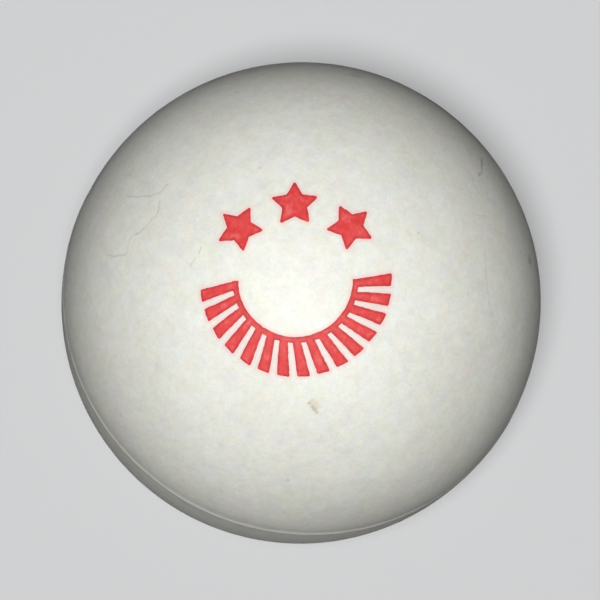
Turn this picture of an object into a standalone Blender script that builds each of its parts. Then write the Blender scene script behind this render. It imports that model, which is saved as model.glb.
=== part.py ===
"""A 38 mm celluloid table tennis ball.

Two pressed half shells meet at the equator. The plain half has a lip that reaches up inside the
printed half, and a ring of cement fills the lap and stands a hair proud along the seam. A film of
ink on the printed half shows three stars over an arc of ticks, with blank celluloid in the middle.

The origin is the ball's centre. +Z runs through the middle of the printed half, square to the seam,
which lies in the XY plane. The print leans from the +Z pole towards -Y. Lengths are in metres.
"""

import math

import bmesh
import bpy
from mathutils import Matrix, Vector

# Overall size
BALL_DIAMETER = 0.0380

# Half shells
UPPER_WALL = 0.00038  # wall of the printed half
LOWER_WALL = 0.00038  # wall of the plain half
SEAM_GAP = 0.00018  # between the two rims, filled with cement
RIM_BREAK = 0.00007  # chamfer on each rim's outer edge, where the cement settles

# Lip of the plain half, inside the printed half
LIP_REACH = 0.00130  # above the seam plane
LIP_WALL = 0.00032
JOGGLE_START = 0.00150  # below the seam plane, where the wall starts to step inwards
JOGGLE_END = 0.00055  # below the seam plane, where the lip's inner face begins

# Cement ring
CEMENT_FILM = 0.00006  # room for cement between the lip and the printed half
FIT_CLEARANCE = 0.00001  # bare gap from any piece to its neighbour
BEAD_HEIGHT = 0.00003  # how far the seam ridge stands proud of the ball
BEAD_HALF_WIDTH = 0.00022  # from the seam's middle to where the ridge meets the ball
FILLET = 0.00018  # of cement above the lip's top edge

# Ink print on the printed half
INK_THICKNESS = 0.00002
MARK_OUTER_DIAMETER = 0.0150  # across the ring of marks, along the surface
MARK_BAND = 0.0031  # length of a tick; the stars are centred in it
MARK_LEAN = 16.7  # degrees from the +Z pole to the middle of the print, towards -Y
MARK_TURN = 39.1  # degrees that the print is turned, anticlockwise from outside
STAR_COUNT = 3
STAR_DIAMETER = 0.0039  # of the circle through a star's points
STAR_GAP = 0.0009  # of blank celluloid between neighbouring stars, along the ring
STAR_WAIST = 0.52  # a star's inner radius as a share of its outer one
TICK_COUNT = 15
TICK_SWEEP = 172.0  # degrees of turn from the first tick to the last
TICK_FOOT = 0.00060  # width of a tick at the inner arc
TICK_HEAD = 0.00098  # width of a tick at its outer end
ARC_WIDTH = 0.00045  # width of the thin arc that joins the ticks
TICK_SLANT = 4.0  # degrees of turn by which a tick's head runs ahead of its foot

# Facets
SEGMENTS = 60  # around the polar axis, a multiple of 4
CAP_STEPS = 14  # from the end of the lap to a pole
LAP_STEP = 0.0005  # longest facet near the seam

CELLULOID_PRINTED = (0.86, 0.85, 0.79, 1.0)
CELLULOID_PLAIN = (0.85, 0.84, 0.78, 1.0)
CEMENT_COLOUR = (0.72, 0.69, 0.60, 1.0)
INK_RED = (0.739, 0.120, 0.122, 1.0)

BALL_RADIUS = BALL_DIAMETER / 2
UPPER_INNER = BALL_RADIUS - UPPER_WALL
LOWER_INNER = BALL_RADIUS - LOWER_WALL
LIP_OUTER = UPPER_INNER - CEMENT_FILM
LIP_INNER = LIP_OUTER - LIP_WALL


# ---------------------------------------------------------------- turned profiles


def level(radius, z):
    """The latitude, in radians, at which a sphere of this radius stands at height z."""
    return math.asin(z / radius)


def shared_latitudes():
    """The latitudes where every sphere changes facet, so that concentric walls stay parallel."""
    lap = level(BALL_RADIUS, max(LIP_REACH + FILLET, JOGGLE_START) * 1.1)
    steps = math.ceil(lap * BALL_RADIUS / LAP_STEP)
    upper = [lap * i / steps for i in range(steps)]
    upper += [lap + (math.pi / 2 - lap) * i / CAP_STEPS for i in range(CAP_STEPS + 1)]
    return sorted({-x for x in upper if x} | set(upper))


LATITUDES = shared_latitudes()


def polar(radius, latitude):
    """A profile point (distance from the axis, height)."""
    if abs(latitude) > math.pi / 2 - 1e-9:
        return (0.0, math.copysign(radius, latitude))
    return (radius * math.cos(latitude), radius * math.sin(latitude))


def arc(radius, start, end):
    """Profile points along a sphere's meridian between two latitudes, both included."""
    low, high = min(start, end), max(start, end)
    between = [x for x in LATITUDES if low + 1e-4 < x < high - 1e-4]
    return [polar(radius, x) for x in sorted([low, *between, high], reverse=start > end)]


def turned(name, profile):
    """A closed mesh made by turning a profile about Z. Points on the axis become single vertices."""
    bm = bmesh.new()
    rings = []
    for r, z in profile:
        if r == 0:
            rings.append([bm.verts.new((0, 0, z))] * SEGMENTS)
            continue
        turn = [2 * math.pi * i / SEGMENTS for i in range(SEGMENTS)]
        rings.append([bm.verts.new((r * math.cos(a), r * math.sin(a), z)) for a in turn])
    closed = profile[0][0] != 0
    pairs = zip(rings, rings[1:] + rings[:1]) if closed else zip(rings, rings[1:])
    for here, there in pairs:
        for i in range(SEGMENTS):
            j = (i + 1) % SEGMENTS
            corners = [here[i], here[j], there[j], there[i]]
            bm.faces.new(list(dict.fromkeys(corners)))
    bmesh.ops.recalc_face_normals(bm, faces=bm.faces)
    mesh = bpy.data.meshes.new(name)
    bm.to_mesh(mesh)
    bm.free()
    mesh.shade_smooth()
    mesh.set_sharp_from_angle(angle=math.radians(35))
    return mesh


def upper_profile():
    """The printed half: outside from pole to rim, a chamfer, the flat rim face, then the inside."""
    rim = SEAM_GAP / 2
    top = math.pi / 2
    return [
        *arc(BALL_RADIUS, top, level(BALL_RADIUS, rim + RIM_BREAK)),
        (math.sqrt((BALL_RADIUS - RIM_BREAK) ** 2 - rim**2), rim),
        (math.sqrt(UPPER_INNER**2 - rim**2), rim),
        *arc(UPPER_INNER, level(UPPER_INNER, rim), top)[1:],
    ]


def lower_profile():
    """The plain half: outside, rim, then up and over the lip, down through the joggle, inside."""
    rim = SEAM_GAP / 2
    bottom = -math.pi / 2
    return [
        *arc(BALL_RADIUS, bottom, level(BALL_RADIUS, -rim - RIM_BREAK)),
        (math.sqrt((BALL_RADIUS - RIM_BREAK) ** 2 - rim**2), -rim),
        *arc(LIP_OUTER, level(LIP_OUTER, -rim), level(LIP_OUTER, LIP_REACH)),
        *arc(LIP_INNER, level(LIP_INNER, LIP_REACH), level(LIP_INNER, -JOGGLE_END)),
        *arc(LOWER_INNER, level(LOWER_INNER, -JOGGLE_START), bottom),
    ]


def cement_profile():
    """The cement: a film in the lap, a web between the rims, a proud ridge and an inner fillet."""
    gap = FIT_CLEARANCE
    web = SEAM_GAP / 2 - gap
    outside = UPPER_INNER - gap
    inside = LIP_OUTER + gap
    top = LIP_REACH + FILLET
    shoulder = BALL_RADIUS - RIM_BREAK
    edge = BALL_RADIUS + gap
    foot = max(BEAD_HALF_WIDTH, web + RIM_BREAK + 2 * gap)
    ridge = [
        (shoulder, web),
        (edge, web + RIM_BREAK),
        (edge + BEAD_HEIGHT * 0.25, foot),
        (BALL_RADIUS + BEAD_HEIGHT * 0.8, foot * 0.45),
        (BALL_RADIUS + BEAD_HEIGHT, 0.0),
        (BALL_RADIUS + BEAD_HEIGHT * 0.8, -foot * 0.45),
        (edge + BEAD_HEIGHT * 0.25, -foot),
        (edge, -web - RIM_BREAK),
        (shoulder, -web),
    ]
    return [
        *arc(outside, level(outside, top), level(outside, web)),
        *ridge,
        *arc(inside, level(inside, -web), level(inside, LIP_REACH + gap)),
        polar(LIP_INNER + LIP_WALL * 0.25, level(LIP_INNER, LIP_REACH + gap)),
    ]


# ---------------------------------------------------------------- the print

MARK_FRAME = (
    Matrix.Rotation(math.radians(MARK_LEAN), 3, "X")
    @ Matrix.Rotation(math.radians(MARK_TURN), 3, "Z")
)
RING_OUTER = MARK_OUTER_DIAMETER / 2
RING_INNER = RING_OUTER - MARK_BAND
RING_MIDDLE = (RING_OUTER + RING_INNER) / 2


def on_ball(x, y, radius=BALL_RADIUS):
    """A point at the print's flat coordinates x, y, laid on a sphere about the ball's centre.

    Distances from the middle of the print are kept as arc lengths on the ball.
    """
    reach = math.hypot(x, y)
    spread = reach / BALL_RADIUS
    side = math.sin(spread) / reach if reach else 0.0
    return MARK_FRAME @ Vector((x * side, y * side, math.cos(spread))) * radius


def around(distance, turn):
    """Flat coordinates at a distance from the middle of the print and a turn in degrees."""
    a = math.radians(turn)
    return (distance * math.cos(a), distance * math.sin(a))


def radial_prism(name, polygons):
    """A cutter whose sides run along the ball's radii, through the flat polygons' outlines."""
    bm = bmesh.new()
    points = {}
    for polygon in polygons:
        for point in polygon:
            if point not in points:
                points[point] = bm.verts.new(on_ball(*point, radius=BALL_RADIUS * 0.92))
        bm.faces.new([points[p] for p in polygon])
    made = bmesh.ops.extrude_face_region(bm, geom=bm.faces[:], use_keep_orig=True)
    lifted = [v for v in made["geom"] if isinstance(v, bmesh.types.BMVert)]
    bmesh.ops.scale(bm, vec=Vector((1, 1, 1)) * (1.08 / 0.92), verts=lifted)
    bmesh.ops.recalc_face_normals(bm, faces=bm.faces)
    mesh = bpy.data.meshes.new(name)
    bm.to_mesh(mesh)
    bm.free()
    return mesh


def star_polygons(turn):
    """A five-pointed star in the band of the ring, its top away from the middle of the print."""
    cx, cy = around(RING_MIDDLE, turn)
    outline = []
    for i in range(10):
        reach = STAR_DIAMETER / 2 * (STAR_WAIST if i % 2 else 1.0)
        dx, dy = around(reach, turn + 36 * i)
        outline.append((cx + dx, cy + dy))
    return [[(cx, cy), a, b] for a, b in zip(outline, outline[1:] + outline[:1])]


def tick_polygons():
    """The lower arc: slanted ticks that widen outwards, on a thin arc that joins their feet."""
    polygons = []
    arc_outer = RING_INNER + ARC_WIDTH
    foot = math.degrees(TICK_FOOT / RING_INNER / 2)
    neck = math.degrees(TICK_FOOT / arc_outer / 2)
    head = math.degrees(TICK_HEAD / RING_OUTER / 2)
    pitch = TICK_SWEEP / (TICK_COUNT - 1)
    for i in range(TICK_COUNT):
        turn = 270 - TICK_SWEEP / 2 + pitch * i
        polygons.append(
            [
                around(RING_INNER, turn - foot),
                around(RING_INNER, turn + foot),
                around(arc_outer, turn + neck),
                around(arc_outer, turn - neck),
            ]
        )
        polygons.append(
            [
                around(arc_outer, turn - neck),
                around(arc_outer, turn + neck),
                around(RING_OUTER, turn + TICK_SLANT + head),
                around(RING_OUTER, turn + TICK_SLANT - head),
            ]
        )
        if i < TICK_COUNT - 1:
            polygons.append(
                [
                    around(RING_INNER, turn + foot),
                    around(RING_INNER, turn + pitch - foot),
                    around(arc_outer, turn + pitch - neck),
                    around(arc_outer, turn + neck),
                ]
            )
    return [[tuple(round(x, 12) for x in p) for p in polygon] for polygon in polygons]


def ink_film(name):
    """A thin cap over the printed half, parallel to its facets, from which a mark is cut."""
    base = BALL_RADIUS + FIT_CLEARANCE
    reach = math.radians(MARK_LEAN) + RING_OUTER / BALL_RADIUS + 0.1
    edge = math.pi / 2 - reach
    top = math.pi / 2
    return turned(name, arc(base + INK_THICKNESS, top, edge) + arc(base, edge, top))


def printed(name, polygons, surface, parent):
    """One island of ink: the film, kept only where the mark's prism passes through it."""
    ink = piece(name, ink_film(name), surface, parent)
    cutter = bpy.data.objects.new("cut_" + name, radial_prism("cut_" + name, polygons))
    bpy.context.scene.collection.objects.link(cutter)
    cutter.parent = parent
    cutter.hide_render = True
    cutter.display_type = "WIRE"
    cut = ink.modifiers.new("keep_mark", "BOOLEAN")
    cut.operation = "INTERSECT"
    cut.object = cutter
    return ink


# ---------------------------------------------------------------- objects


def material(name, colour, roughness):
    """A plain opaque finish of one colour."""
    made = bpy.data.materials.new(name)
    made.use_nodes = True
    shader = made.node_tree.nodes["Principled BSDF"]
    shader.inputs["Base Color"].default_value = colour
    shader.inputs["Roughness"].default_value = roughness
    shader.inputs["Metallic"].default_value = 0.0
    made.diffuse_color = colour
    return made


def piece(name, mesh, surface, parent):
    """A named object of one mesh and one finish, under the ball's own empty."""
    made = bpy.data.objects.new(name, mesh)
    mesh.materials.append(surface)
    bpy.context.scene.collection.objects.link(made)
    made.parent = parent
    return made


def main():
    for old in list(bpy.data.objects):
        bpy.data.objects.remove(old, do_unlink=True)

    ball = bpy.data.objects.new("ball", None)
    bpy.context.scene.collection.objects.link(ball)

    printed_half = material("celluloid_printed_half", CELLULOID_PRINTED, 0.52)
    plain_half = material("celluloid_plain_half", CELLULOID_PLAIN, 0.52)
    cement = material("seam_cement", CEMENT_COLOUR, 0.42)
    piece("upper_half_shell", turned("upper_half_shell", upper_profile()), printed_half, ball)
    piece("lower_half_shell", turned("lower_half_shell", lower_profile()), plain_half, ball)
    piece("seam_cement", turned("seam_cement", cement_profile()), cement, ball)

    places = ("right", "centre", "left") if STAR_COUNT == 3 else range(1, STAR_COUNT + 1)
    pitch = math.degrees((STAR_DIAMETER + STAR_GAP) / RING_MIDDLE)
    for i, place in enumerate(places):
        name = f"print_star_{place}"
        turn = 90 + pitch * (i - (STAR_COUNT - 1) / 2)
        printed(name, star_polygons(turn), material(name, INK_RED, 0.45), ball)
    name = "print_tick_arc"
    printed(name, tick_polygons(), material(name, INK_RED, 0.45), ball)


main()
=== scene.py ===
"""Looks of a worn 38 mm celluloid table tennis ball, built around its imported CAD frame.

The ball is two half shells, a cement seam and an ink print. Each is meshed here at fine resolution in
the frame's own coordinates: the origin is the ball's centre, +Z the pole of the printed half, the seam
is z = 0 and the print leans from +Z towards -Y. Lengths named *_MM and all arrays are in millimetres.
"""

import math

import bpy
import numpy as np
from mathutils import Matrix, Vector


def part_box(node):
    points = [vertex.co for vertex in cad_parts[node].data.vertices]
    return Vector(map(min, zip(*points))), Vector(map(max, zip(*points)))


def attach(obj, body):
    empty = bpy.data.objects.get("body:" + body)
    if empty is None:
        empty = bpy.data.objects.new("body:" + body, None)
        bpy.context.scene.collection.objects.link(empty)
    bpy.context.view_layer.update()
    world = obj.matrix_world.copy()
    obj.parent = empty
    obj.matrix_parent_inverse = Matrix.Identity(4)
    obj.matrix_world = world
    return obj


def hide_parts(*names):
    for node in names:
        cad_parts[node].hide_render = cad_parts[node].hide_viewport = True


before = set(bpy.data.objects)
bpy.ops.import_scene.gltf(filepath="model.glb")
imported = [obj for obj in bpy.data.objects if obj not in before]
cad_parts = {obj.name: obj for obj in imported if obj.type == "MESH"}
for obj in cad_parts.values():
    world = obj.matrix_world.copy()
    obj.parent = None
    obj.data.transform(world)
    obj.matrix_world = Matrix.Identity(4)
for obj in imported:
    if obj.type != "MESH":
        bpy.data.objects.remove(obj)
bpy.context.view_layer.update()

MM = 0.001


# ---------------------------------------------------------------- sizes, from the frame and the CAD

BALL_R = -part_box("lower_half_shell")[0].z / MM
UPPER_WALL_MM = 0.38
LOWER_WALL_MM = 0.38
SEAM_GAP_MM = 0.18
LIP_REACH_MM = 1.30
LIP_WALL_MM = 0.32
JOGGLE_END_MM = 0.55
CEMENT_FILM_MM = 0.06
FIT_MM = 0.01
FILLET_MM = 0.18
LIP_OUTER_MM = BALL_R - UPPER_WALL_MM - CEMENT_FILM_MM
RIM_Z = SEAM_GAP_MM / 2

# How the outside differs from a true sphere
OUT_OF_ROUND_MM = 0.06
LONG_AXIS = np.array([-0.270, 0.896, 0.351])
SHORT_AXIS = np.array([-0.961, -0.276, -0.023])
WAVES = [(9.0, 0.010, 11), (3.5, 0.004, 12), (1.3, 0.0013, 13)]  # size in mm, height in mm, seed
SUNK_MM = 0.006
RIDGE_MM = 0.040
NICK_MM = 0.024
FLANK_TOP_Z = 0.16
FLANK_RISE_MM = 0.36
DIP_MM = 0.015
DIP_Z = 0.45
DIP_WIDTH_MM = 0.26
RIM_BREAK_MM = 0.045
BEAD_HALF_WIDTH_MM = 0.22
CROWN_MM = 0.007

MARK_LEAN = math.radians(16.7)
MARK_TURN = math.radians(39.1)
RING_OUTER_MM = 7.5
RING_BAND_MM = 3.1
RING_INNER_MM = RING_OUTER_MM - RING_BAND_MM
RING_MIDDLE_MM = RING_OUTER_MM - RING_BAND_MM / 2
STAR_DIAMETER_MM = 3.9
STAR_GAP_MM = 0.9
STAR_WAIST = 0.52
STAR_PITCH = math.degrees((STAR_DIAMETER_MM + STAR_GAP_MM) / RING_MIDDLE_MM)
TICK_COUNT = 15
TICK_SWEEP = 172.0
TICK_FOOT_MM = 0.60
TICK_HEAD_MM = 0.98
ARC_WIDTH_MM = 0.45
TICK_SLANT = 4.0
CORNER_MM = 0.11
MARK_FRAME = np.array(Matrix.Rotation(MARK_LEAN, 3, "X") @ Matrix.Rotation(MARK_TURN, 3, "Z"))


# ---------------------------------------------------------------- camera

VIEW_AZIMUTH = math.radians(12.7)
VIEW_ELEVATION = math.radians(69.4)
VIEW_ROLL = math.radians(26.3)
VIEW_DISTANCE = 0.475
LENS = 360.0
SENSOR = 36.0
AIM_RIGHT, AIM_UP = -0.087 * MM, 0.229 * MM

towards = Vector(
    (
        math.sin(VIEW_AZIMUTH) * math.cos(VIEW_ELEVATION),
        -math.cos(VIEW_AZIMUTH) * math.cos(VIEW_ELEVATION),
        math.sin(VIEW_ELEVATION),
    )
)
level_right = (-towards).cross(Vector((0, 0, 1))).normalized()
level_up = level_right.cross(-towards)
view_right = math.cos(VIEW_ROLL) * level_right + math.sin(VIEW_ROLL) * level_up
view_up = -math.sin(VIEW_ROLL) * level_right + math.cos(VIEW_ROLL) * level_up

camera_data = bpy.data.cameras.new("camera")
camera_data.lens = LENS
camera_data.sensor_width = SENSOR
camera_data.clip_start, camera_data.clip_end = 0.01, 20.0
camera = bpy.data.objects.new("camera", camera_data)
bpy.context.scene.collection.objects.link(camera)
camera.matrix_world = Matrix.Translation(
    towards * VIEW_DISTANCE + view_right * AIM_RIGHT + view_up * AIM_UP
) @ Matrix((view_right, view_up, towards)).transposed().to_4x4()
bpy.context.scene.camera = camera


# ---------------------------------------------------------------- numbers on the ball


def lattice(cells, seed):
    """A repeatable number from 0 to 1 for each whole-number cell."""
    k = cells.astype(np.int64)
    h = k[..., 0] * 374761393 + k[..., 1] * 668265263 + k[..., 2] * 2147483647 + seed * 974711
    h = (h ^ (h >> 13)) * 1274126177 & 0xFFFFFFFF
    return ((h ^ (h >> 16)) & 0xFFFFFF) / 0xFFFFFF


def ripple(points, size, seed):
    """Smooth noise from -1 to 1 over points, with features about size across."""
    q = points / size + 100.5
    base = np.floor(q)
    t = q - base
    t = t * t * t * (t * (t * 6 - 15) + 10)
    total = 0.0
    for corner in np.ndindex(2, 2, 2):
        c = np.array(corner)
        weight = np.prod(np.where(c, t, 1 - t), axis=-1)
        total = total + weight * lattice(base + c, seed)
    return total * 2 - 1


def fade(x):
    """0 at and below 0, 1 at and above 1, smooth between."""
    x = np.clip(x, 0, 1)
    return x * x * (3 - 2 * x)


def relief(unit):
    """How far the outside surface stands off the true sphere, in mm, along unit directions.

    The plain half's rim stands proud of the printed half's. It falls back towards its own pole,
    steeply at first. The printed half dips a little just above the seam.
    """
    p = unit * BALL_R
    z = p[..., 2]
    out = OUT_OF_ROUND_MM * ((unit @ LONG_AXIS) ** 2 - (unit @ SHORT_AXIS) ** 2)
    for size, height, seed in WAVES:
        out = out + height * ripple(p, size, seed)
    ridge = RIDGE_MM * (1 + 0.20 * ripple(p, 2.4, 14) + 0.16 * ripple(p, 0.8, 15))
    nicks = NICK_MM * fade((ripple(p, 0.9, 16) - 0.42) / 0.2)
    beyond = np.clip(-FLANK_TOP_Z - z, 0, None)
    fall = 0.45 * np.exp(-((beyond / 0.40) ** 2)) + 0.55 * np.exp(-beyond / 2.0)
    flank = fade((FLANK_TOP_Z - z) / FLANK_RISE_MM) * fall
    dip = DIP_MM * np.exp(-(((z - DIP_Z) / DIP_WIDTH_MM) ** 2))
    return out + (ridge - nicks) * flank - dip - SUNK_MM


def surface_radius(unit):
    """Distance of the outside surface from the ball's centre, in mm, along unit directions."""
    return BALL_R + relief(unit)


def unit_of(points):
    """The directions of points from the ball's centre."""
    return points / np.linalg.norm(points, axis=-1, keepdims=True)


def mark_unit(x, y):
    """Unit directions of the print's flat coordinates, which keep distances from its middle."""
    reach = np.hypot(x, y)
    spread = reach / BALL_R
    side = np.where(reach > 1e-9, np.sin(spread) / np.maximum(reach, 1e-9), 0)
    return np.stack([x * side, y * side, np.cos(spread)], axis=-1) @ MARK_FRAME.T


def mark_flat(unit):
    """The print's flat coordinates of unit directions."""
    q = unit @ MARK_FRAME
    side = np.hypot(q[..., 0], q[..., 1])
    reach = np.arctan2(side, q[..., 2]) * BALL_R
    scale = reach / np.maximum(side, 1e-9)
    return q[..., 0] * scale, q[..., 1] * scale


# ---------------------------------------------------------------- outline of the print


def around(distance, turn):
    """A flat point at a distance from the middle, at a turn in degrees."""
    a = np.radians(turn)
    return np.stack([distance * np.cos(a), distance * np.sin(a)], axis=-1)


def polygon_distance(x, y, corners):
    """Signed distance to a polygon, negative inside."""
    nearest = np.full(x.shape, 1e9)
    crossings = np.zeros(x.shape, int)
    for (ax, ay), (bx, by) in zip(corners, np.roll(corners, -1, axis=0)):
        ex, ey = bx - ax, by - ay
        t = np.clip(((x - ax) * ex + (y - ay) * ey) / (ex * ex + ey * ey), 0, 1)
        nearest = np.minimum(nearest, np.hypot(x - ax - t * ex, y - ay - t * ey))
        over = (ay > y) != (by > y)
        with np.errstate(divide="ignore", invalid="ignore"):
            left = x < ex * (y - ay) / ey + ax
        crossings += over & left
    return np.where(crossings % 2 == 1, -nearest, nearest)


def star_distance(x, y, turn):
    """Signed distance to a star whose points the ink has rounded."""
    middle = around(RING_MIDDLE_MM, turn)
    tip, notch = STAR_DIAMETER_MM / 2, STAR_DIAMETER_MM / 2 * STAR_WAIST
    edge = tip * notch * math.sin(math.radians(36))
    edge /= math.hypot(tip - notch * math.cos(math.radians(36)), notch * math.sin(math.radians(36)))
    shrink = (edge - CORNER_MM) / edge
    corners = [middle + around((notch if i % 2 else tip) * shrink, turn + 36 * i) for i in range(10)]
    return polygon_distance(x, y, np.array(corners)) - CORNER_MM


def tick_arc_distance(x, y):
    """Signed distance to the slanted ticks and the thin arc that joins their feet."""
    reach = np.hypot(x, y)
    turn = np.degrees(np.arctan2(y, x))
    off = (turn - 270 + 180) % 360 - 180
    foot = math.degrees(TICK_FOOT_MM / RING_INNER_MM / 2)
    half = TICK_SWEEP / 2 + foot
    past = np.radians(np.clip(np.abs(off) - half, 0, None)) * reach
    across = np.abs(reach - RING_INNER_MM - ARC_WIDTH_MM / 2) - ARC_WIDTH_MM / 2
    nearest = np.where(past > 0, np.hypot(past, np.clip(across, 0, None)), across)
    pitch = TICK_SWEEP / (TICK_COUNT - 1)
    for i in range(TICK_COUNT):
        at = 270 - TICK_SWEEP / 2 + pitch * i
        foot_point = around(RING_INNER_MM + CORNER_MM, at)
        head_point = around(RING_OUTER_MM - CORNER_MM, at + TICK_SLANT)
        side = around(1.0, at + 90)
        a = side * (TICK_FOOT_MM / 2 - CORNER_MM)
        b = side * (TICK_HEAD_MM / 2 - CORNER_MM)
        corners = [foot_point - a, foot_point + a, head_point + b, head_point - b]
        nearest = np.minimum(nearest, polygon_distance(x, y, np.array(corners)) - CORNER_MM)
    return nearest


MARKS = {
    "print_star_right": lambda x, y: star_distance(x, y, 90 - STAR_PITCH),
    "print_star_centre": lambda x, y: star_distance(x, y, 90),
    "print_star_left": lambda x, y: star_distance(x, y, 90 + STAR_PITCH),
    "print_tick_arc": tick_arc_distance,
}


def inked(x, y, distance):
    """Signed distance to the outline as the stamp left it: ragged, fat here and thin there."""
    p = np.stack([x, y, np.zeros_like(x)], axis=-1)
    return distance + 0.030 * ripple(p, 0.22, 31) + 0.035 * ripple(p, 0.8, 32) - 0.01


def all_ink_distance(x, y):
    """Signed distance to the nearest ink, or NO_INK_MM well away from the print."""
    near = np.hypot(x, y) < RING_OUTER_MM + INK_REACH_MM
    out = np.full(x.shape, NO_INK_MM)
    nx, ny = x[near], y[near]
    out[near] = inked(nx, ny, np.min([mark(nx, ny) for mark in MARKS.values()], axis=0))
    return out


# ---------------------------------------------------------------- meshes


def face_inwards(points, faces):
    """True where a closed surface encloses a negative volume."""
    fans = [(face[0], face[k], face[k + 1]) for face in faces for k in range(1, len(face) - 1)]
    a, b, c = (points[corner] for corner in np.array(fans).T)
    return np.einsum("ij,ij->", a, np.cross(b, c)) < 0


def mesh_from(name, points, faces, attributes=None):
    """A mesh in metres from points in mm, with its faces turned outwards."""
    mesh = bpy.data.meshes.new(name)
    if face_inwards(points, faces):
        faces = [face[::-1] for face in faces]
    mesh.from_pydata((points * MM).tolist(), [], faces)
    for key, values in (attributes or {}).items():
        layer = mesh.attributes.new(key, "FLOAT", "POINT")
        layer.data.foreach_set("value", np.asarray(values, np.float32))
    mesh.update()
    mesh.validate()
    return mesh


def rings_to_faces(counts, segments, closed):
    """Faces between neighbouring rings, where a count of 1 is a single point on the axis."""
    starts = np.concatenate([[0], np.cumsum(counts)[:-1]])
    pairs = [(k, k + 1) for k in range(len(counts) - 1)]
    if closed:
        pairs.append((len(counts) - 1, 0))
    faces = []
    for here, there in pairs:
        a, b = starts[here], starts[there]
        for i in range(segments):
            j = (i + 1) % segments
            if counts[here] == 1:
                faces.append((a, b + j, b + i))
            elif counts[there] == 1:
                faces.append((a + i, a + j, b))
            else:
                faces.append((a + i, a + j, b + j, b + i))
    return faces


def ring_mesh(name, rings, closed=False, attributes=None):
    """A mesh through rings of points, smooth apart from its rims."""
    segments = max(len(r) for r in rings)
    faces = rings_to_faces([len(r) for r in rings], segments, closed)
    points = np.concatenate(rings)
    mesh = mesh_from(name, points, faces, attributes)
    mesh.shade_smooth()
    mesh.set_sharp_from_angle(angle=math.radians(40))
    return mesh


def add_piece(name, mesh, node, material):
    """A visible piece that stands for a CAD node."""
    piece = bpy.data.objects.new(name, mesh)
    bpy.context.scene.collection.objects.link(piece)
    mesh.materials.append(material)
    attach(piece, "root")
    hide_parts(node)
    return piece


def lathe_ring(radius, z, segments):
    """A level ring at height z on a sphere about the ball's centre."""
    a = np.linspace(0, 2 * math.pi, segments, endpoint=False)
    flat = math.sqrt(max(radius**2 - z**2, 0))
    return np.stack([flat * np.cos(a), flat * np.sin(a), np.full(segments, z)], axis=-1)


def outside(unit):
    """Points on the outside surface along unit directions."""
    return unit * surface_radius(unit)[..., None]


# ---------------------------------------------------------------- printed half shell

UPPER_SEGMENTS = 576
NEAR_SEAM_Z = 2.4
LAST_RING_Z = RIM_Z + 0.05
RINGS_BY_SEAM = 22
INSIDE_STEP = 6  # the inside has one ring for each six outside
PRINT_MARGIN_MM = 0.9
NO_INK_MM = 5.0
INK_REACH_MM = 1.2


def upper_rings():
    """Unit directions of rings, round the print near it and parallel to the seam near the rim."""
    turn = np.linspace(0, 2 * math.pi, UPPER_SEGMENTS, endpoint=False)
    pole = MARK_FRAME[2]
    k = pole[0] * np.cos(turn) + pole[1] * np.sin(turn)
    lean, size = np.arctan2(k, pole[2]), np.hypot(k, pole[2])

    def spread_at(z):
        """How far round from the print's middle each direction meets height z, as an angle."""
        return lean + np.arccos(np.clip(z / BALL_R / size, -1, 1))

    def ring(spread):
        """A ring at an angle from the print's middle, which may change as it goes round."""
        spread = np.broadcast_to(spread, turn.shape)
        return mark_unit(spread * BALL_R * np.cos(turn), spread * BALL_R * np.sin(turn))

    print_edge = (RING_OUTER_MM + PRINT_MARGIN_MM) / BALL_R
    near_seam = spread_at(NEAR_SEAM_Z)
    inside_print = np.linspace(0, RING_INNER_MM - 0.3, 16)[1:] / BALL_R
    across_print = np.linspace(RING_INNER_MM - 0.2, RING_OUTER_MM + PRINT_MARGIN_MM, 46) / BALL_R
    rows = [ring(s) for s in inside_print] + [ring(s) for s in across_print]
    rows += [ring(print_edge + (near_seam - print_edge) * t) for t in np.linspace(0, 1, 58)[1:-1]]
    rows += [ring(spread_at(z)) for z in np.geomspace(NEAR_SEAM_Z, LAST_RING_Z, RINGS_BY_SEAM)]
    return rows


def rim_edge(flat_rim, radius, z):
    """The last ring of an outside surface, on the rim's face just inside its broken edge."""
    return flat_rim * np.sqrt((radius - RIM_BREAK_MM) ** 2 - z**2) + [0, 0, z]


def build_upper(material):
    """The printed half: its outside with the rim, then its inside, which needs fewer rings."""
    rows = upper_rings()
    flat_rim = unit_of(rows[-1] * [1, 1, 0])
    inner_r = BALL_R - UPPER_WALL_MM
    top = mark_unit(np.array(0.0), np.array(0.0))[None]
    rings = [outside(top)] + [outside(r) for r in rows]
    rings.append(rim_edge(flat_rim, surface_radius(flat_rim)[:, None], RIM_Z))
    rings.append(flat_rim * math.sqrt(inner_r**2 - RIM_Z**2) + [0, 0, RIM_Z])
    rings += [r * inner_r for r in rows[::-1][4::INSIDE_STEP]] + [top * inner_r]
    points = np.concatenate(rings)
    ink = all_ink_distance(*mark_flat(unit_of(points)))
    is_inner_face = np.linalg.norm(points, axis=1) < BALL_R - UPPER_WALL_MM * 0.8
    ink[is_inner_face] = NO_INK_MM
    mesh = ring_mesh("printed_half", rings, attributes={"ink_distance": ink})
    return add_piece("printed_half", mesh, "upper_half_shell", material)


# ---------------------------------------------------------------- plain half shell

LOWER_SEGMENTS = 512
CAP_LATITUDES = np.linspace(-90, -8, 104)[1:]
INSIDE_LATITUDES = np.linspace(4.7, 87.0, 24)


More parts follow.
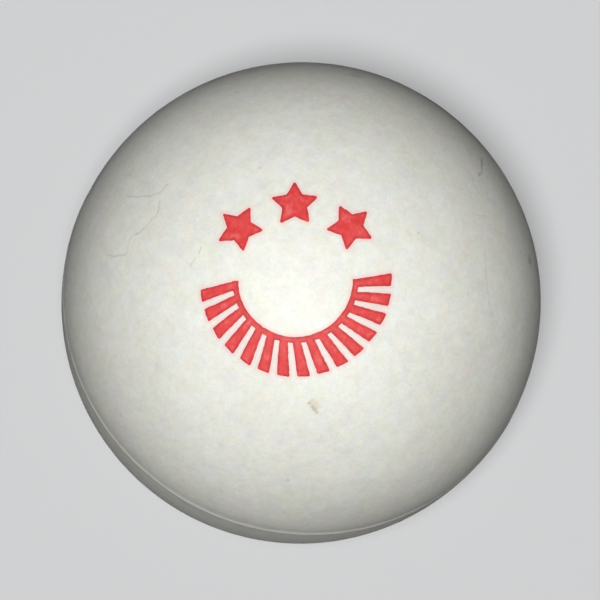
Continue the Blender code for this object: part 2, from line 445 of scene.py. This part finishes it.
def build_lower(material):
    """The plain half: its outside, the rim's face, the lip out and back, and its inside."""
    n = LOWER_SEGMENTS
    inner_r = BALL_R - LOWER_WALL_MM
    lip_inner = LIP_OUTER_MM - LIP_WALL_MM
    bottom = np.array([[0.0, 0.0, -1.0]])
    by_seam = np.degrees(np.arcsin(-np.geomspace(NEAR_SEAM_Z, LAST_RING_Z, RINGS_BY_SEAM) / BALL_R))
    latitudes = np.concatenate([CAP_LATITUDES, by_seam])
    rows = [unit_of(lathe_ring(1.0, math.sin(math.radians(a)), n)) for a in latitudes]
    flat_rim = unit_of(lathe_ring(1.0, 0.0, n))
    just_below = unit_of(flat_rim - [0, 0, 1e-4])
    rings = [outside(bottom)] + [outside(r) for r in rows]
    rings.append(rim_edge(flat_rim, surface_radius(just_below)[:, None], -RIM_Z))
    rings += [lathe_ring(LIP_OUTER_MM, z, n) for z in np.linspace(-RIM_Z, LIP_REACH_MM, 6)]
    rings += [lathe_ring(lip_inner, z, n) for z in np.linspace(LIP_REACH_MM - 0.02, -JOGGLE_END_MM, 6)]
    rings += [lathe_ring(inner_r, z, n) for z in -inner_r * np.sin(np.radians(INSIDE_LATITUDES))]
    rings.append(bottom * inner_r)
    mesh = ring_mesh("plain_half", rings)
    return add_piece("plain_half", mesh, "lower_half_shell", material)


# ---------------------------------------------------------------- cement

CEMENT_SEGMENTS = 900
BEAD_RINGS = 15
BEAD_FOOT_MM = 0.004
WEB_DEPTH_MM = 0.13


def build_cement(material):
    """The cement ring: film in the lap, web between the rims, and a bead that wanders a little."""
    n = CEMENT_SEGMENTS
    film_outer = BALL_R - UPPER_WALL_MM - FIT_MM
    film_inner = LIP_OUTER_MM + FIT_MM
    film_end = LIP_REACH_MM + FIT_MM
    web = RIM_Z - FIT_MM
    circle = unit_of(lathe_ring(1.0, 0.0, n))
    p = circle * BALL_R
    height = CROWN_MM * (0.9 + 0.5 * ripple(p, 1.6, 41) + 0.4 * ripple(p, 0.5, 42))
    width = BEAD_HALF_WIDTH_MM * (0.78 + 0.12 * ripple(p, 2.4, 43) + 0.08 * ripple(p, 0.6, 44))
    wander = 0.014 * ripple(p, 3.0, 45)
    film_z = (LIP_REACH_MM + FILLET_MM, LIP_REACH_MM * 0.6, LIP_REACH_MM * 0.25, web)
    rings = [lathe_ring(film_outer, z, n) for z in film_z]
    rings.append(circle * (BALL_R - WEB_DEPTH_MM) + [0, 0, web])
    for t in np.linspace(1, -1, BEAD_RINGS):
        z = wander + width * t
        unit = unit_of(p + np.stack([0 * z, 0 * z, z], axis=-1))
        crown = (height + BEAD_FOOT_MM) * (1 - abs(t) ** 2.2)
        rings.append(unit * (surface_radius(unit) - BEAD_FOOT_MM + crown)[:, None])
    rings.append(circle * (BALL_R - WEB_DEPTH_MM) - [0, 0, web])
    rings += [lathe_ring(film_inner, z, n) for z in (-web, LIP_REACH_MM * 0.4, film_end)]
    rings.append(lathe_ring(LIP_OUTER_MM - LIP_WALL_MM * 0.6, film_end, n))
    mesh = ring_mesh("cement_seam", rings, closed=True)
    return add_piece("cement_seam", mesh, "seam_cement", material)


# ---------------------------------------------------------------- ink film

INK_STEP_MM = 0.05
INK_SUNK_MM = 0.006
INK_EDGE_MM = 0.003
INK_BODY_MM = 0.008
INK_SQUEEZED_MM = 0.004


def region_cells(distance):
    """Polygons of grid corners and edge crossings that cover where distance is negative.

    Each polygon is a list of keys, (row, column, 0) for a corner and (row, column, 1 or 2) for
    the crossing on the edge that leaves a corner along the columns or along the rows.
    """
    inside = distance < 0
    some = inside[:-1, :-1] | inside[1:, :-1] | inside[:-1, 1:] | inside[1:, 1:]
    polygons = []
    for r, c in np.argwhere(some).tolist():
        corners = [(r, c), (r, c + 1), (r + 1, c + 1), (r + 1, c)]
        edges = [(r, c, 1), (r, c + 1, 2), (r + 1, c, 1), (r, c, 2)]
        polygon = []
        for i in range(4):
            here, there = corners[i], corners[(i + 1) % 4]
            if inside[here]:
                polygon.append((*here, 0))
            if inside[here] != inside[there]:
                polygon.append(edges[i])
        if len(polygon) > 2:
            polygons.append(polygon)
    return polygons


def key_points(keys, grid, distance):
    """Flat coordinates of region_cells' keys, and how far inside the outline each one lies."""
    rows, columns, kind = np.array(keys).T
    last = len(grid) - 1
    d0 = distance[rows, columns]
    d1 = distance[np.minimum(rows + (kind == 2), last), np.minimum(columns + (kind == 1), last)]
    t = np.where(kind > 0, d0 / np.where(kind > 0, d0 - d1, 1), 0)
    x = grid[columns] + t * (kind == 1) * INK_STEP_MM
    y = grid[rows] + t * (kind == 2) * INK_STEP_MM
    return x, y, np.where(kind > 0, 0, -d0)


def film_thickness(flat, depth):
    """How thick the ink is, in mm, at flat points that lie depth mm inside its outline."""
    thickness = INK_EDGE_MM + INK_BODY_MM * fade(depth / 0.05)
    thickness += INK_SQUEEZED_MM * np.exp(-(((depth - 0.10) / 0.05) ** 2))
    return thickness + 0.0015 * ripple(flat, 0.18, 33) * fade(depth / 0.08)


def build_ink(name, mark, material):
    """One patch of ink: a film with squeezed-out edges, closed by an underside in the shell."""
    grid = np.arange(-RING_OUTER_MM - 0.6, RING_OUTER_MM + 0.6, INK_STEP_MM)
    x, y = np.meshgrid(grid, grid)
    near = mark(x, y)
    distance = np.where(near < 0.5, inked(x, y, near), near)
    small = 0.12 * INK_STEP_MM
    distance = np.where(np.abs(distance) < small, np.where(distance < 0, -small, small), distance)
    polygons = region_cells(distance)
    keys = sorted({key for polygon in polygons for key in polygon})
    px, py, depth = key_points(keys, grid, distance)
    unit = mark_unit(px, py)
    flat = np.stack([px, py, np.zeros_like(px)], axis=-1)
    base = surface_radius(unit)
    top = unit * (base + film_thickness(flat, depth))[:, None]
    under = unit * (base - INK_SUNK_MM)[:, None]

    index = {key: i for i, key in enumerate(keys)}
    faces = [[index[key] for key in polygon] for polygon in polygons]
    edges = dict.fromkeys((a, b) for face in faces for a, b in zip(face, face[1:] + face[:1]))
    count = len(keys)
    sides = [(b, a, a + count, b + count) for a, b in edges if (b, a) not in edges]
    below = [[i + count for i in face[::-1]] for face in faces]
    depths = np.concatenate([depth, depth])
    points = np.concatenate([top, under])
    mesh = mesh_from(name, points, faces + below + sides, {"ink_depth": depths})
    mesh.shade_smooth()
    mesh.set_sharp_from_angle(angle=math.radians(50))
    return add_piece("ink_" + name.removeprefix("print_"), mesh, name, material)


# ---------------------------------------------------------------- materials


class Nodes:
    """Short calls for one material's node tree. Values can be numbers, colours or sockets."""

    def __init__(self, name):
        self.material = bpy.data.materials.new(name)
        self.material.use_nodes = True
        self.tree = self.material.node_tree
        self.tree.nodes.clear()
        out = self.tree.nodes.new("ShaderNodeOutputMaterial")
        self.shader = self.tree.nodes.new("ShaderNodeBsdfPrincipled")
        self.tree.links.new(self.shader.outputs[0], out.inputs[0])
        coordinates = self.tree.nodes.new("ShaderNodeTexCoord")
        self.place = self.vector("SCALE", coordinates.outputs["Object"], scale=1 / MM)

    def put(self, socket, value):
        """Feeds a socket from another one, or gives it a constant."""
        if isinstance(value, bpy.types.NodeSocket):
            self.tree.links.new(value, socket)
        else:
            socket.default_value = value

    def math(self, operation, a, b=0.0, c=0.0, clamp=False):
        """A sum on numbers."""
        node = self.tree.nodes.new("ShaderNodeMath")
        node.operation, node.use_clamp = operation, clamp
        for socket, value in zip(node.inputs, (a, b, c)):
            self.put(socket, value)
        return node.outputs[0]

    def vector(self, operation, a, b=None, c=None, scale=None):
        """A sum on vectors or colours, whose result is a number for lengths and products."""
        node = self.tree.nodes.new("ShaderNodeVectorMath")
        node.operation = operation
        for socket, value in zip(node.inputs, (a, b, c)):
            if value is not None:
                self.put(socket, value)
        if scale is not None:
            self.put(node.inputs["Scale"], scale)
        gives_number = operation in ("LENGTH", "DISTANCE", "DOT_PRODUCT")
        return node.outputs["Value" if gives_number else "Vector"]

    def noise(self, size, detail, roughness, seed, colour=False):
        """Noise with features about size mm across, from 0 to 1."""
        node = self.tree.nodes.new("ShaderNodeTexNoise")
        node.noise_dimensions = "4D"
        self.put(node.inputs["Vector"], self.place)
        self.put(node.inputs["W"], seed)
        self.put(node.inputs["Scale"], 1.0 / size)
        self.put(node.inputs["Detail"], detail)
        self.put(node.inputs["Roughness"], roughness)
        return node.outputs["Color" if colour else 0]

    def spots(self, size, reach, seed):
        """1 in the middle of scattered round spots, 0 from reach times size outwards."""
        node = self.tree.nodes.new("ShaderNodeTexVoronoi")
        node.voronoi_dimensions = "4D"
        self.put(node.inputs["Vector"], self.place)
        self.put(node.inputs["W"], seed)
        self.put(node.inputs["Scale"], 1.0 / size)
        return self.ramp(node.outputs["Distance"], reach, 0.0)

    def ramp(self, value, low, high):
        """0 at low and 1 at high, smooth between, also when low is the larger."""
        node = self.tree.nodes.new("ShaderNodeMapRange")
        node.interpolation_type = "SMOOTHSTEP"
        turned = low > high
        self.put(node.inputs["Value"], value)
        self.put(node.inputs["From Min"], high if turned else low)
        self.put(node.inputs["From Max"], low if turned else high)
        self.put(node.inputs["To Min"], 1.0 if turned else 0.0)
        self.put(node.inputs["To Max"], 0.0 if turned else 1.0)
        return node.outputs[0]

    def mix(self, factor, a, b):
        """Colour a where factor is 0, b where it is 1."""
        node = self.tree.nodes.new("ShaderNodeMix")
        node.data_type = "RGBA"
        self.put(node.inputs["Factor"], factor)
        for socket, value in ((node.inputs[6], a), (node.inputs[7], b)):
            self.put(socket, (*value, 1.0) if isinstance(value, tuple) else value)
        return node.outputs[2]

    def stain(self, base, where, depth, colour):
        """base, turned towards colour by depth where where is 1."""
        return self.mix(self.math("MULTIPLY", where, depth), base, colour)

    def off_seam(self):
        """Distance in mm from the seam's plane."""
        return self.vector("LENGTH", self.vector("MULTIPLY", self.place, (0.0, 0.0, 1.0)))

    def attribute(self, name):
        """A number that the mesh keeps for each of its points."""
        node = self.tree.nodes.new("ShaderNodeAttribute")
        node.attribute_name = name
        return node.outputs["Fac"]

    def near_line(self, points, place):
        """Distance in mm from place to a chain of straight stretches between points."""
        nearest = None
        for a, b in zip(points, points[1:]):
            along = Vector(b) - Vector(a)
            off = self.vector("SUBTRACT", place, tuple(a))
            t = self.vector("DOT_PRODUCT", off, tuple(along / along.length_squared))
            t = self.math("MULTIPLY", t, 1.0, clamp=True)
            reach = self.vector("SCALE", tuple(along), scale=t)
            distance = self.vector("LENGTH", self.vector("SUBTRACT", off, reach))
            nearest = distance if nearest is None else self.math("MINIMUM", nearest, distance)
        return nearest

    def bump(self, height_mm):
        """The surface's normal, tilted by a relief in mm."""
        node = self.tree.nodes.new("ShaderNodeBump")
        node.inputs["Strength"].default_value = 1.0
        node.inputs["Distance"].default_value = MM
        self.put(node.inputs["Height"], height_mm)
        return node.outputs[0]

    def set(self, **values):
        """Feeds the shader's inputs, named with _ for each space."""
        for key, value in values.items():
            self.put(self.shader.inputs[key.replace("_", " ")], value)


# Colours of the celluloid, of the dirt on it and of the shade painted beside its seam
IVORY = (0.845, 0.852, 0.785)
OLD_IVORY = (0.815, 0.814, 0.740)
SPECK = (0.42, 0.38, 0.33)
GRIME = (0.52, 0.49, 0.42)
# painted shade: the colour of the darker band beside the seam
SEAM_SHADE = (0.52, 0.51, 0.47)
SCUFF = (0.27, 0.24, 0.20)
OLIVE_SPECK = (0.34, 0.31, 0.22)
SMEAR = (0.74, 0.60, 0.41)
SMEAR_TAIL = (0.42, 0.40, 0.33)
INK_HALO = (0.95, 0.55, 0.53)
# Tints that mottle the celluloid: size in mm, seed, noise value where it starts, depth, colour
TINTS = [
    (1.7, 5.1, 0.50, 0.43, (0.84, 0.765, 0.72)),
    (1.9, 9.7, 0.50, 0.42, (0.775, 0.81, 0.67)),
    (1.4, 13.9, 0.52, 0.36, (0.74, 0.745, 0.745)),
]
# Hairlines on the printed half: points in the print's flat mm, half width in mm, depth of colour
PRINTED_HAIRLINES = [
    ([(-15.17, 8.65), (-14.03, 8.21), (-12.68, 7.97), (-11.66, 8.05), (-10.75, 8.74)], 0.14, 0.28),
    ([(-11.38, 7.34), (-11.4, 6.6), (-11.75, 6.03), (-12.68, 5.01), (-13.49, 4.69)], 0.14, 0.27),
    ([(-13.49, 4.69), (-14.13, 4.43), (-14.41, 3.76), (-14.71, 3.0)], 0.14, 0.31),
    ([(-14.71, 3.0), (-15.64, 2.96), (-16.93, 3.24)], 0.14, 0.29),
    ([(-7.42, 2.74), (-7.66, 2.27), (-8.08, 1.82), (-8.34, 1.44)], 0.14, 0.29),
    ([(18.81, 13.78), (18.25, 12.41), (17.98, 11.66), (17.3, 10.9)], 0.24, 0.50),
    ([(16.3, 10.31), (16.32, 9.59), (16.59, 9.12), (16.69, 8.72)], 0.15, 0.24),
    ([(16.07, 6.4), (16.69, 6.46), (17.2, 6.51)], 0.15, 0.17),
    ([(16.65, 3.43), (16.63, 0.91), (17.06, -1.72), (17.63, -3.22)], 0.15, 0.17),
    ([(8.78, -8.02), (9.35, -8.56)], 0.14, 0.17),
]
# Hairlines on the plain half: the same, with each point as a direction from the ball's centre
PLAIN_HAIRLINES = [
    ([(-9.0, 13.5, -10.0), (-7.2, 14.4, -10.2), (-5.8, 14.4, -11.0)], 0.13, 0.25),
    ([(14.6, -6.0, -10.6), (13.2, -6.4, -12.1), (12.6, -5.4, -13.2)], 0.13, 0.25),
    ([(4.0, -17.2, -7.0), (5.2, -16.6, -7.6), (6.0, -15.7, -8.9), (5.8, -14.9, -10.2)], 0.13, 0.22),
]
# Specks on the printed half: place in the print's flat mm, radius in mm, depth of colour
PRINTED_SPECKS = [
    (0.92, -9.68, 0.22, 0.50),
    (1.14, -9.44, 0.14, 0.30),
    (-2.77, 9.31, 0.26, 0.26),
    (9.88, 3.9, 0.18, 0.26),
    (-1.04, -17.0, 0.24, 0.34),
    (-13.26, -4.42, 0.14, 0.20),
    (14.52, -0.89, 0.16, 0.24),
    (24.3, 3.45, 0.70, 0.42),
    (5.92, 22.09, 0.80, 0.26),
]


def on_sphere(x, y):
    """The point of the sphere at the print's flat coordinates, in mm from the ball's centre."""
    return tuple(float(v) for v in mark_unit(np.array(x), np.array(y)) * BALL_R)


def hairlines(printed):
    """One half's hairlines: points on the sphere, half width in mm, depth of colour."""
    if printed:
        return [([on_sphere(*q) for q in points], w, d) for points, w, d in PRINTED_HAIRLINES]
    units = [([Vector(q).normalized() for q in points], w, d) for points, w, d in PLAIN_HAIRLINES]
    return [([tuple(unit * BALL_R) for unit in line], w, d) for line, w, d in units]


def mottled(n):
    """Warm white, blotched with pink, green and grey, under a fine grain."""
    blotch = n.ramp(n.noise(6.0, 3.0, 0.55, 1.3), 0.34, 0.66)
    base = n.mix(blotch, IVORY, OLD_IVORY)
    for size, seed, start, depth, colour in TINTS:
        patches = n.ramp(n.noise(size, 2.0, 0.6, seed), start, 0.74)
        base = n.stain(base, patches, depth, colour)
    grain = n.math("SUBTRACT", n.noise(0.95, 4.0, 0.98, 3.3), 0.5)
    grain = n.vector("SCALE", (1.0, 1.0, 1.0), scale=n.math("MULTIPLY", grain, 0.47))
    hue = n.vector("SUBTRACT", n.noise(0.9, 2.0, 0.7, 6.6, colour=True), (0.5, 0.5, 0.5))
    shade = n.vector("MULTIPLY_ADD", hue, (0.10, 0.06, 0.25), (1.0, 1.0, 1.0))
    return n.vector("MULTIPLY", base, n.vector("ADD", shade, grain))


def soiled_and_shaded(n, base):
    """Specks all over, grime along the seam's foot and a wider band of painted shade beside it."""
    few = n.ramp(n.noise(5.0, 1.0, 0.5, 4.4), 0.5, 0.62)
    base = n.stain(base, n.math("MULTIPLY", n.spots(2.3, 0.07, 2.0), few), 0.30, SPECK)
    height = n.off_seam()
    patchy = n.ramp(n.noise(1.2, 2.0, 0.6, 6.0), 0.3, 0.7)
    base = n.stain(base, n.math("MULTIPLY", n.ramp(height, 0.52, 0.17), patchy), 0.22, GRIME)
    # painted shade: a wider band darkened beside the seam, on both halves
    patchy = n.math("MULTIPLY_ADD", patchy, 0.5, 0.5)
    return n.stain(base, n.math("MULTIPLY", n.ramp(height, 3.2, 0.4), patchy), 0.20, SEAM_SHADE)


def print_side_marks(n, base, place, fading):
    """What only the printed half has: a smear, olive specks and ink that bled round the print."""
    smear = n.near_line([on_sphere(1.31, -9.62), on_sphere(1.48, -10.07)], place)
    base = n.stain(base, n.ramp(smear, 0.50, 0.06), 0.55, SMEAR)
    tail = n.near_line([on_sphere(1.18, -9.97), on_sphere(1.55, -10.50)], place)
    base = n.stain(base, n.ramp(tail, 0.22, 0.03), 0.52, SMEAR_TAIL)
    for x, y, size, depth in PRINTED_SPECKS:
        dot = n.ramp(n.vector("DISTANCE", place, on_sphere(x, y)), size, size * 0.15)
        base = n.stain(base, dot, depth, OLIVE_SPECK)
    halo = n.ramp(n.attribute("ink_distance"), 0.42, 0.0)
    return n.stain(base, halo, n.math("MULTIPLY_ADD", fading, 0.30, 0.32), INK_HALO)


def celluloid(name, printed):
    """Aged white celluloid: mottled, with grime by the seam, painted shade beside it and on the whole
    plain half, finely matt, with scuffs.
    """
    n = Nodes(name)
    base = soiled_and_shaded(n, mottled(n))
    # painted shade: the plain half's celluloid is made 5% darker than the printed half's
    if not printed:
        base = n.vector("SCALE", base, scale=0.95)
    relief_mm = n.math("MULTIPLY", n.noise(0.30, 3.0, 0.6, 8.0), 0.0042)
    relief_mm = n.math("ADD", relief_mm, n.math("MULTIPLY", n.noise(0.09, 1.0, 0.5, 8.5), 0.0013))

    ball_place = n.vector("SCALE", n.vector("NORMALIZE", n.place), scale=BALL_R)
    wobble = n.vector("SUBTRACT", n.noise(0.8, 2.0, 0.55, 2.2, colour=True), (0.5, 0.5, 0.5))
    line_place = n.vector("ADD", ball_place, n.vector("SCALE", wobble, scale=0.5))
    fading = n.math("MULTIPLY_ADD", n.ramp(n.noise(0.8, 2.0, 0.6, 7.7), 0.34, 0.58), 0.35, 0.65)
    for points, half_width, depth in hairlines(printed):
        line = n.ramp(n.near_line(points, line_place), half_width, 0.0)
        line = n.math("MULTIPLY", line, fading)
        base = n.stain(base, line, depth, SCUFF)
        relief_mm = n.math("SUBTRACT", relief_mm, n.math("MULTIPLY", line, 0.006))
    if printed:
        mark_place = n.vector("ADD", ball_place, n.vector("SCALE", wobble, scale=0.25))
        base = print_side_marks(n, base, mark_place, fading)

    rough = n.math("MULTIPLY_ADD", n.noise(1.8, 3.0, 0.6, 12.0), 0.22, 0.44)
    n.set(Base_Color=base, Roughness=rough, Normal=n.bump(relief_mm))
    n.set(IOR=1.5, Specular_IOR_Level=0.36)
    n.set(Subsurface_Weight=0.18, Subsurface_Radius=(1.0, 0.75, 0.5), Subsurface_Scale=0.5 * MM)
    return n.material


def cement():
    """Celluloid cement: the same stuff a little yellower and glossier, with dirt along its feet."""
    n = Nodes("seam_cement_look")
    tone = n.noise(1.4, 3.0, 0.6, 3.0)
    base = n.mix(n.ramp(tone, 0.35, 0.7), (0.82, 0.817, 0.765), (0.79, 0.778, 0.715))
    patchy = n.ramp(n.noise(0.7, 2.0, 0.6, 6.0), 0.3, 0.7)
    foot = n.math("MULTIPLY", n.ramp(n.off_seam(), 0.11, 0.20), patchy)
    base = n.stain(base, foot, 0.30, (0.52, 0.48, 0.40))
    bumps = n.math("MULTIPLY", n.noise(0.22, 2.0, 0.5, 5.0), 0.005)
    n.set(Base_Color=base, Roughness=n.math("MULTIPLY_ADD", tone, 0.2, 0.34), Normal=n.bump(bumps))
    n.set(IOR=1.5, Specular_IOR_Level=0.45)
    n.set(Subsurface_Weight=0.15, Subsurface_Radius=(1.0, 0.75, 0.5), Subsurface_Scale=0.4 * MM)
    return n.material


def ink():
    """Red stamping ink: crimson where it was squeezed to the edge, thinner and lighter inside."""
    n = Nodes("stamp_ink_look")
    patch = n.noise(0.55, 3.0, 0.65, 2.0)
    base = n.mix(n.ramp(patch, 0.34, 0.68), (0.700, 0.046, 0.048), (0.765, 0.080, 0.077))
    depth = n.attribute("ink_depth")
    broken = n.ramp(n.noise(0.4, 2.0, 0.5, 6.0), 0.28, 0.60)
    squeezed = n.math("MULTIPLY", n.ramp(depth, 0.27, 0.04), broken)
    base = n.stain(base, squeezed, 0.84, (0.43, 0.036, 0.043))
    worn = n.ramp(n.noise(0.62, 2.0, 0.5, 9.0), 0.50, 0.74)
    thin = n.math("MULTIPLY", worn, n.ramp(depth, 0.10, 0.30))
    base = n.stain(base, thin, 0.55, (0.86, 0.20, 0.18))
    bumps = n.math("MULTIPLY", n.noise(0.12, 2.0, 0.6, 4.0), 0.003)
    rough = n.math("MULTIPLY_ADD", n.noise(0.5, 2.0, 0.5, 5.5), 0.25, 0.42)
    n.set(Base_Color=base, Roughness=rough, Normal=n.bump(bumps), IOR=1.48, Specular_IOR_Level=0.3)
    return n.material


# ---------------------------------------------------------------- the ball

printed_celluloid = celluloid("printed_celluloid_look", True)
plain_celluloid = celluloid("plain_celluloid_look", False)
stamp_ink = ink()
ball = [build_upper(printed_celluloid), build_lower(plain_celluloid), build_cement(cement())]
for mark_name, mark_outline in MARKS.items():
    ball.append(build_ink(mark_name, mark_outline, stamp_ink))


# ---------------------------------------------------------------- floor and light


# The floor, in metres, and its paper, which is brighter to the camera than to bounced light
FLOOR_RADII = (0.02, 0.1, 0.4, 1.0, 1.5)
SWEEP_RADIUS = 0.5
FLOOR_SEGMENTS = 128
FLOOR_SEEN = (0.50, 0.505, 0.51, 1.0)
FLOOR_UNSEEN = (0.02, 0.02, 0.02, 1.0)
FLOOR_GLOW = 0.10


def floor_paper():
    """Pale matt paper that returns only a little of the light it gets to the ball above it."""
    material = bpy.data.materials.new("floor_paper")
    material.use_nodes = True
    tree = material.node_tree
    shader = tree.nodes["Principled BSDF"]
    shader.inputs["Roughness"].default_value = 0.9
    shader.inputs["Specular IOR Level"].default_value = 0.1
    shader.inputs["Emission Color"].default_value = (0.98, 0.99, 1.0, 1.0)
    seen = tree.nodes.new("ShaderNodeLightPath").outputs["Is Camera Ray"]
    colour = tree.nodes.new("ShaderNodeMix")
    colour.data_type = "RGBA"
    colour.inputs[6].default_value = FLOOR_UNSEEN
    colour.inputs[7].default_value = FLOOR_SEEN
    tree.links.new(seen, colour.inputs["Factor"])
    tree.links.new(colour.outputs[2], shader.inputs["Base Color"])
    glow = tree.nodes.new("ShaderNodeMath")
    glow.operation = "MULTIPLY"
    glow.inputs[1].default_value = FLOOR_GLOW
    tree.links.new(seen, glow.inputs[0])
    tree.links.new(glow.outputs[0], shader.inputs["Emission Strength"])
    return material


def build_floor():
    """A round pale sweep: flat under the ball, turned up far away so that it has no horizon."""
    n = FLOOR_SEGMENTS
    bend = np.radians(range(10, 91, 10))
    profile = [(r, 0.0) for r in FLOOR_RADII]
    profile += [
        (FLOOR_RADII[-1] + SWEEP_RADIUS * math.sin(a), SWEEP_RADIUS - SWEEP_RADIUS * math.cos(a))
        for a in bend
    ]
    turn = np.linspace(0, 2 * math.pi, n, endpoint=False)
    points = [(0.0, 0.0, 0.0)]
    for r, z in profile:
        points += [(r * math.cos(a), r * math.sin(a), z) for a in turn]
    faces = [(0, 1 + i, 1 + (i + 1) % n) for i in range(n)]
    for k in range(len(profile) - 1):
        a, b = 1 + k * n, 1 + (k + 1) * n
        faces += [(a + i, b + i, b + (i + 1) % n, a + (i + 1) % n) for i in range(n)]
    mesh = bpy.data.meshes.new("floor")
    mesh.from_pydata(points, [], faces)
    mesh.shade_smooth()
    floor = bpy.data.objects.new("floor", mesh)
    bpy.context.scene.collection.objects.link(floor)
    floor.location.z = -BALL_R * MM
    floor.visible_shadow = False
    mesh.materials.append(floor_paper())
    return floor


def add_light(name, kind, direction, energy, distance=1.0, **settings):
    """A light that shines at the ball's centre from a direction and a distance in metres."""
    data = bpy.data.lights.new(name, kind)
    data.energy = energy
    for key, value in settings.items():
        setattr(data, key, value)
    light = bpy.data.objects.new(name, data)
    bpy.context.scene.collection.objects.link(light)
    direction = Vector(direction).normalized()
    light.location = direction * distance
    light.rotation_mode = "QUATERNION"
    light.rotation_quaternion = direction.to_track_quat("Z", "Y")
    return light


def light_only(light, lit):
    """Limits a light to some objects. The others still cast shadows in it."""
    group = bpy.data.collections.new(light.name + "_receivers")
    for thing in lit:
        group.objects.link(thing)
    light.light_linking.receiver_collection = group


# The key light stands near the lens, like the photo's flash, a little to the lower left of it
KEY_OFF_AXIS = math.radians(2.4)
KEY_SIDE = math.radians(-134)

floor = build_floor()
key_direction = towards + math.tan(KEY_OFF_AXIS) * (
    math.cos(KEY_SIDE) * view_right + math.sin(KEY_SIDE) * view_up
)
key = add_light("key", "AREA", key_direction, 2.45, distance=0.485, shape="DISK", size=0.08)
light_only(key, ball)
floor_key = add_light("floor_key", "SUN", key_direction, 3.50, angle=math.radians(12))
light_only(floor_key, [floor])
add_light("back_fill", "SUN", (-0.6, 0.6, 0.1), 0.10, angle=math.radians(60))
add_light("under_glow", "SUN", -towards, 0.90, angle=math.radians(44))

world = bpy.data.worlds.new("world")
world.use_nodes = True
world.node_tree.nodes["Background"].inputs["Color"].default_value = (1.0, 1.0, 1.0, 1.0)
world.node_tree.nodes["Background"].inputs["Strength"].default_value = 0.012
bpy.context.scene.world = world
bpy.context.scene.view_settings.view_transform = "Standard"
